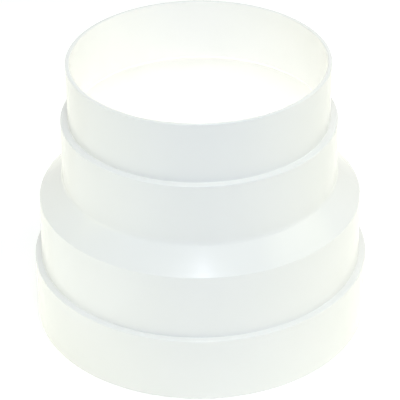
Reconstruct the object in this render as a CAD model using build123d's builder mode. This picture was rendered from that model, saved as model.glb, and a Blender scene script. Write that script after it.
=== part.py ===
"""Round duct reducer, moulded in one piece of white plastic.

A plain spigot at the small end pushes into a duct. Below it come a slightly wider neck, a shoulder,
a barrel and a socket, which takes the end of a larger duct and stops it on a ledge. The shoulder is
a cone that is a little hollow along its slope. The wall follows the same steps inside and outside.

Units are millimetres. The origin is the centre of the socket's mouth, and +Z runs up the duct's axis.
"""

import os
from math import atan2, cos, hypot, radians, sin, tan

from build123d import *

# The ducts that the two ends fit, with the clearance at the radius
small_duct_bore = 100.0
spigot_clearance = 0.5
large_duct_diameter = 125.0
socket_clearance = 0.75

# Wall thickness, the same all over
wall = 1.5

# Heights of the bands, from the rim down to the mouth
spigot_length = 23.6
neck_height = 23.8
shoulder_rise = 9.0
barrel_height = 25.9
socket_height = 26.3

# How far the neck stands out from the spigot, and the socket from the barrel
neck_step = 2.8
socket_step = 2.6

# Mould draft of the neck and the barrel, which are narrower at the top
draft_angle = 1.0

# How far the shoulder's middle lies below a straight slope, and how much of each end stays straight
shoulder_hollow = 0.3
hollow_margin = 1.8

# Radii of the rounded corners outside
ledge_edge_radius = 0.4
ledge_corner_radius = 0.2
shoulder_edge_radius = 0.4
shoulder_cove_radius = 2.5

# Radii of the rounded corners inside
inner_corner_radius = 0.4
inner_lip_radius = 1.2
inner_shoulder_radius = 1.2

# Radii of the two open ends, on both edges of the wall
rim_edge_radius = 0.4
mouth_edge_radius = 0.4

# Outside radii
draft = tan(radians(draft_angle))
spigot_radius = small_duct_bore / 2 - spigot_clearance
neck_top_radius = spigot_radius + neck_step
neck_base_radius = neck_top_radius + neck_height * draft
socket_radius = large_duct_diameter / 2 + socket_clearance + wall
barrel_base_radius = socket_radius - socket_step
barrel_top_radius = barrel_base_radius - barrel_height * draft

# Levels of the outside corners above the mouth
socket_ledge = socket_height
shoulder_base = socket_ledge + barrel_height
shoulder_top = shoulder_base + shoulder_rise
neck_ledge = shoulder_top + neck_height
rim = neck_ledge + spigot_length

# The shoulder's lean from the vertical, and how much its hollow turns each half away from it
shoulder_run = barrel_top_radius - neck_base_radius
shoulder_lean = atan2(shoulder_run, shoulder_rise)
half_slope = hypot(shoulder_run, shoulder_rise) / 2
hollow_turn = atan2(shoulder_hollow, half_slope)
lower_lean = shoulder_lean + hollow_turn
upper_lean = shoulder_lean - hollow_turn

# The radius that rounds the hollow between its straight ends
hollow_radius = (half_slope - hollow_margin) / tan(hollow_turn)


def stepped_corners(inset):
    """Corners of the section's outside line, set in by a distance, from the mouth up to the rim."""
    hollow_depth = shoulder_hollow + inset / cos(hollow_turn)
    middle_radius = (barrel_top_radius + neck_base_radius) / 2
    middle_level = (shoulder_base + shoulder_top) / 2
    return [
        (socket_radius - inset, 0),
        (socket_radius - inset, socket_ledge - inset),
        (barrel_base_radius - inset, socket_ledge - inset),
        (barrel_top_radius - inset, shoulder_base - inset * tan(lower_lean / 2)),
        (middle_radius - hollow_depth * cos(shoulder_lean), middle_level - hollow_depth * sin(shoulder_lean)),
        (neck_base_radius - inset, shoulder_top - inset * tan(upper_lean / 2)),
        (neck_top_radius - inset, neck_ledge - inset),
        (spigot_radius - inset, neck_ledge - inset),
        (spigot_radius - inset, rim),
    ]


# Corner radii in the same order, from the socket's ledge up to the neck's
outside_radii = [
    ledge_edge_radius,
    ledge_corner_radius,
    shoulder_edge_radius,
    hollow_radius,
    shoulder_cove_radius,
    ledge_edge_radius,
    ledge_corner_radius,
]
inside_radii = [
    inner_corner_radius,
    inner_lip_radius,
    inner_shoulder_radius,
    hollow_radius + wall,
    shoulder_cove_radius + wall,
    inner_corner_radius,
    inner_lip_radius,
]

# The wall's section, turned about the duct's axis
with BuildPart() as reducer_body:
    with BuildSketch(Plane.XZ) as section:
        with BuildLine():
            outside = FilletPolyline(*stepped_corners(0), radius=outside_radii)
            inside = FilletPolyline(*stepped_corners(wall), radius=inside_radii)
            Line(outside @ 0, inside @ 0)
            Line(outside @ 1, inside @ 1)
        make_face()
        fillet(section.vertices().group_by(Axis.Y)[-1], rim_edge_radius)
        fillet(section.vertices().group_by(Axis.Y)[0], mouth_edge_radius)
    revolve(axis=Axis.Z)

os.makedirs("parts", exist_ok=True)
reducer_body.part.label = "reducer_body"
export_step(reducer_body.part, "parts/reducer_body.step")
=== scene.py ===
"""Looks of the duct reducer: white moulded plastic on a round light table.

Everything is in metres, in the part's own frame: the mouth rests on the table at z = 0, and +Z runs
up the axis. Angles are in degrees, and the camera's lens and sensor are in millimetres.
"""

from math import cos, pi, radians, sin

import bpy
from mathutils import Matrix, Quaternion, Vector

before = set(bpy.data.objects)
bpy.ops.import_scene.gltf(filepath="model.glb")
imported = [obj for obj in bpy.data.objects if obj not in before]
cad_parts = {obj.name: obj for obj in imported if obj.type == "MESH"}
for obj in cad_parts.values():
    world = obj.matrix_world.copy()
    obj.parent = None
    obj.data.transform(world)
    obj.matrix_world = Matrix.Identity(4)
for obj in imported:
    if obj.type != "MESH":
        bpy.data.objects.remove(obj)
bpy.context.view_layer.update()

# Camera: it stands on the -Y side, looks down on the part and leans a little
CAMERA_ELEVATION = 31.98
CAMERA_DISTANCE = 0.738
CAMERA_ROLL = -0.57
CAMERA_LENS = 171.3
CAMERA_SENSOR = 36.0
CAMERA_TARGET = Vector((0.00005, 0.0, 0.04688))

# Plastic: its two whites, the span of its roughness, and the size and detail of its marks
PLASTIC_COLOUR = (0.905, 0.905, 0.905, 1.0)
PLASTIC_SHADE = (0.893, 0.895, 0.89, 1.0)
PLASTIC_IOR = 1.5
PLASTIC_ROUGHNESS = (0.17, 0.25)
MOTTLE_SIZE = 0.03
MOTTLE_DETAIL = 3
SCUFF_SIZE = 0.006
SCUFF_DETAIL = 4
GRAIN_SIZE = 0.0006
GRAIN_DETAIL = 2
GRAIN_HEIGHT = 0.000004
RING_PITCH = 0.0011
RING_DETAIL = 1
RING_HEIGHT = 0.000004

# Noise: the middle span of its grey values, which is stretched over a whole range
NOISE_LOW = 0.3
NOISE_HIGH = 0.7

# Colour mix: its sockets by number, because other kinds of mix share their names
MIX_FIRST = 6
MIX_SECOND = 7
MIX_RESULT = 2

# Table: a round sheet of matt white paper, with a glow where it is seen or mirrored
TABLE_RADIUS = 0.3
TABLE_SIDES = 96
TABLE_COLOUR = (0.93, 0.93, 0.93, 1.0)
TABLE_LIFT = 0.25

# World: the dim room, cooler towards the camera's side, and white where it is seen or mirrored
ROOM_BACK = (0.51, 0.522, 0.515, 1.0)
ROOM_FRONT = (0.51, 0.573, 0.665, 1.0)
WHITE = (1.0, 1.0, 1.0, 1.0)

# Soft boxes: azimuth is turned from the camera's side towards +X
LAMP_AIM = Vector((0.0, 0.0, 0.05))
SOFT_BOXES = {
    "front_box": dict(
        azimuth=3, elevation=70, distance=1.2, width=0.6, height=0.4,
        radiance=3.95, colour=(0.92, 1.0, 1.0),
    ),
    "front_strip": dict(
        azimuth=2, elevation=63, distance=1.2, width=0.14, height=0.37,
        radiance=7.2, colour=(0.78, 0.82, 1.0),
    ),
    "right_box": dict(
        azimuth=84, elevation=27, distance=1.2, width=0.8, height=1.1,
        radiance=1.355, colour=(1.0, 0.98, 0.65),
    ),
    "left_box": dict(
        azimuth=-80, elevation=16, distance=1.2, width=0.8, height=0.6,
        radiance=1.465, colour=(1.0, 0.96, 0.45),
    ),
    "back_box": dict(
        azimuth=164, elevation=32, distance=1.3, width=0.6, height=0.5,
        radiance=0.55, colour=(1.0, 0.9, 0.85),
    ),
}

# Lamps in the table: one under the open mouth, one over the whole sheet, one towards the front on the left
TABLE_LAMPS = {
    "mouth_lamp": dict(
        x=0.0, y=0.0, width=0.12, depth=0.12, level=0.0002,
        radiance=1.25, colour=(1.0, 1.0, 0.95),
    ),
    "table_lamp": dict(
        x=0.0, y=0.0, width=0.6, depth=0.6, level=0.0001,
        radiance=0.228, colour=(1.0, 0.94, 0.64),
    ),
    "left_lamp": dict(
        x=-0.17, y=-0.1, width=0.2, depth=0.3, level=0.0002,
        radiance=0.25, colour=(0.78, 0.88, 1.0),
    ),
}


def add_node(tree, kind, values=None, **settings):
    """A shader node with its settings, and with values for its input sockets."""
    node = tree.nodes.new(kind)
    for name, value in settings.items():
        setattr(node, name, value)
    for name, value in (values or {}).items():
        node.inputs[name].default_value = value
    return node


def new_material(name):
    """An empty node material, with its tree and output."""
    material = bpy.data.materials.new(name)
    material.use_nodes = True
    tree = material.node_tree
    tree.nodes.clear()
    output = add_node(tree, "ShaderNodeOutputMaterial")
    return material, tree, output


def noise(tree, vector, size, detail):
    """The grey value of a noise whose blots are about one size across."""
    texture = add_node(tree, "ShaderNodeTexNoise", {"Scale": 1 / size, "Detail": detail})
    tree.links.new(vector, texture.inputs["Vector"])
    return texture.outputs["Fac"]


def spread(tree, value, low, high):
    """A noise value, which stays near its middle, stretched over a range."""
    ends = {"From Min": NOISE_LOW, "From Max": NOISE_HIGH, "To Min": low, "To Max": high}
    span = add_node(tree, "ShaderNodeMapRange", ends)
    tree.links.new(value, span.inputs["Value"])
    return span.outputs["Result"]


def mix_colours(tree, factor, first, second):
    """The colour that lies between two, by a factor from 0 to 1."""
    mix = add_node(tree, "ShaderNodeMix", data_type="RGBA")
    mix.inputs[MIX_FIRST].default_value = first
    mix.inputs[MIX_SECOND].default_value = second
    tree.links.new(factor, mix.inputs["Factor"])
    return mix.outputs[MIX_RESULT]


def around_axis(tree, place):
    """A place's distance from the axis and its level, which are the same all round the part."""
    link = tree.links.new
    flat = add_node(tree, "ShaderNodeVectorMath", operation="MULTIPLY")
    flat.inputs[1].default_value = (1.0, 1.0, 0.0)
    link(place, flat.inputs[0])
    radius = add_node(tree, "ShaderNodeVectorMath", operation="LENGTH")
    link(flat.outputs["Vector"], radius.inputs[0])
    level = add_node(tree, "ShaderNodeSeparateXYZ")
    link(place, level.inputs["Vector"])
    around = add_node(tree, "ShaderNodeCombineXYZ")
    link(radius.outputs["Value"], around.inputs["X"])
    link(level.outputs["Z"], around.inputs["Z"])
    return around.outputs["Vector"]


def plastic_material():
    """Satin white plastic, with faint mottling and scuffs, a fine grain and the rings of a turned mould."""
    material, tree, output = new_material("satin_white_plastic")
    link = tree.links.new
    place = add_node(tree, "ShaderNodeTexCoord").outputs["Object"]
    shader = add_node(tree, "ShaderNodeBsdfPrincipled", {"IOR": PLASTIC_IOR})
    link(shader.outputs["BSDF"], output.inputs["Surface"])

    mottle = spread(tree, noise(tree, place, MOTTLE_SIZE, MOTTLE_DETAIL), 0.0, 1.0)
    link(mix_colours(tree, mottle, PLASTIC_SHADE, PLASTIC_COLOUR), shader.inputs["Base Color"])

    scuffs = spread(tree, noise(tree, place, SCUFF_SIZE, SCUFF_DETAIL), *PLASTIC_ROUGHNESS)
    link(scuffs, shader.inputs["Roughness"])

    rings = add_node(tree, "ShaderNodeBump", {"Distance": RING_HEIGHT, "Strength": 1.0})
    link(noise(tree, around_axis(tree, place), RING_PITCH, RING_DETAIL), rings.inputs["Height"])
    grain = add_node(tree, "ShaderNodeBump", {"Distance": GRAIN_HEIGHT, "Strength": 1.0})
    link(noise(tree, place, GRAIN_SIZE, GRAIN_DETAIL), grain.inputs["Height"])
    link(rings.outputs["Normal"], grain.inputs["Normal"])
    link(grain.outputs["Normal"], shader.inputs["Normal"])
    return material


def shown_rays(tree):
    """A socket that is 1 for the rays that show the surroundings: seen, mirrored or through clear matter."""
    path = add_node(tree, "ShaderNodeLightPath")
    mirrored = add_node(tree, "ShaderNodeMath", operation="MAXIMUM")
    tree.links.new(path.outputs["Is Camera Ray"], mirrored.inputs[0])
    tree.links.new(path.outputs["Is Glossy Ray"], mirrored.inputs[1])
    shown = add_node(tree, "ShaderNodeMath", operation="MAXIMUM")
    tree.links.new(mirrored.outputs["Value"], shown.inputs[0])
    tree.links.new(path.outputs["Is Transmission Ray"], shown.inputs[1])
    return shown.outputs["Value"]


def paper_material():
    """Matt white paper, with a glow that lifts it towards white where it is seen or mirrored."""
    material, tree, output = new_material("white_paper")
    link = tree.links.new
    paper = add_node(tree, "ShaderNodeBsdfDiffuse", {"Color": TABLE_COLOUR})
    lift = add_node(tree, "ShaderNodeMath", operation="MULTIPLY")
    lift.inputs[1].default_value = TABLE_LIFT
    link(shown_rays(tree), lift.inputs[0])
    glow = add_node(tree, "ShaderNodeEmission", {"Color": WHITE})
    link(lift.outputs["Value"], glow.inputs["Strength"])
    both = add_node(tree, "ShaderNodeAddShader")
    link(paper.outputs["BSDF"], both.inputs[0])
    link(glow.outputs["Emission"], both.inputs[1])
    link(both.outputs["Shader"], output.inputs["Surface"])
    return material


def make_table():
    """The round sheet that the part stands on."""
    turns = [2 * pi * side / TABLE_SIDES for side in range(TABLE_SIDES)]
    corners = [(TABLE_RADIUS * cos(turn), TABLE_RADIUS * sin(turn), 0) for turn in turns]
    mesh = bpy.data.meshes.new("table")
    mesh.from_pydata(corners, [], [range(TABLE_SIDES)])
    mesh.materials.append(paper_material())
    table = bpy.data.objects.new("table", mesh)
    bpy.context.scene.collection.objects.link(table)


def make_world():
    """The room: its light goes from the back colour to the front one as a direction turns to -Y."""
    world = bpy.data.worlds.new("studio")
    bpy.context.scene.world = world
    world.use_nodes = True
    tree = world.node_tree
    tree.nodes.clear()
    link = tree.links.new
    output = add_node(tree, "ShaderNodeOutputWorld")
    direction = add_node(tree, "ShaderNodeSeparateXYZ")
    link(add_node(tree, "ShaderNodeTexCoord").outputs["Generated"], direction.inputs["Vector"])
    ahead = add_node(tree, "ShaderNodeMapRange", {"From Min": 0.0, "From Max": -1.0})
    link(direction.outputs["Y"], ahead.inputs["Value"])
    light = add_node(tree, "ShaderNodeBackground", {"Strength": 1.0})
    link(mix_colours(tree, ahead.outputs["Result"], ROOM_BACK, ROOM_FRONT), light.inputs["Color"])
    seen = add_node(tree, "ShaderNodeBackground", {"Color": WHITE, "Strength": 1.0})
    both = add_node(tree, "ShaderNodeMixShader")
    link(shown_rays(tree), both.inputs[0])
    link(light.outputs["Background"], both.inputs[1])
    link(seen.outputs["Background"], both.inputs[2])
    link(both.outputs["Shader"], output.inputs["Surface"])


def outward(azimuth, elevation):
    """A unit direction from the part, with azimuth turned from the camera's side towards +X."""
    turn = radians(azimuth)
    rise = radians(elevation)
    return Vector((sin(turn) * cos(rise), -cos(turn) * cos(rise), sin(rise)))


def add_lamp(name, shape, area, radiance, colour):
    """An area lamp that the camera doesn't see; its light is set by its radiance."""
    lamp = bpy.data.lights.new(name, "AREA")
    lamp.shape = shape
    lamp.energy = radiance * pi * area
    lamp.color = colour
    holder = bpy.data.objects.new(name, lamp)
    bpy.context.scene.collection.objects.link(holder)
    holder.visible_camera = False
    return lamp, holder


def make_soft_box(name, azimuth, elevation, distance, width, height, radiance, colour):
    """A soft box that faces the part."""
    lamp, holder = add_lamp(name, "RECTANGLE", width * height, radiance, colour)
    lamp.size = width
    lamp.size_y = height
    direction = outward(azimuth, elevation)
    holder.location = LAMP_AIM + direction * distance
    holder.rotation_mode = "QUATERNION"
    holder.rotation_quaternion = (-direction).to_track_quat("-Z", "Y")


def make_table_lamp(name, x, y, width, depth, level, radiance, colour):
    """A round or oval lamp in the table, turned over to shine up.

    Lamps that overlap lie at different levels, because light meets only one of two lamps in one plane.
    """
    lamp, holder = add_lamp(name, "ELLIPSE", pi / 4 * width * depth, radiance, colour)
    lamp.size = width
    lamp.size_y = depth
    holder.location = (x, y, level)
    holder.rotation_euler = (pi, 0.0, 0.0)


def make_camera():
    """The camera, aimed at its target and rolled a little about its own line of sight."""
    data = bpy.data.cameras.new("camera")
    data.lens = CAMERA_LENS
    data.sensor_width = CAMERA_SENSOR
    camera = bpy.data.objects.new("camera", data)
    bpy.context.scene.collection.objects.link(camera)
    direction = outward(0, CAMERA_ELEVATION)
    camera.location = CAMERA_TARGET + direction * CAMERA_DISTANCE
    camera.rotation_mode = "QUATERNION"
    roll = Quaternion((0, 0, 1), radians(CAMERA_ROLL))
    camera.rotation_quaternion = (-direction).to_track_quat("-Z", "Y") @ roll
    bpy.context.scene.camera = camera


bpy.context.scene.view_settings.view_transform = "Standard"
make_camera()
make_world()
for lamp_name, lamp_values in SOFT_BOXES.items():
    make_soft_box(lamp_name, **lamp_values)
for lamp_name, lamp_values in TABLE_LAMPS.items():
    make_table_lamp(lamp_name, **lamp_values)
make_table()
body_material = plastic_material()
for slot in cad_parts["reducer_body"].material_slots:
    slot.material = body_material
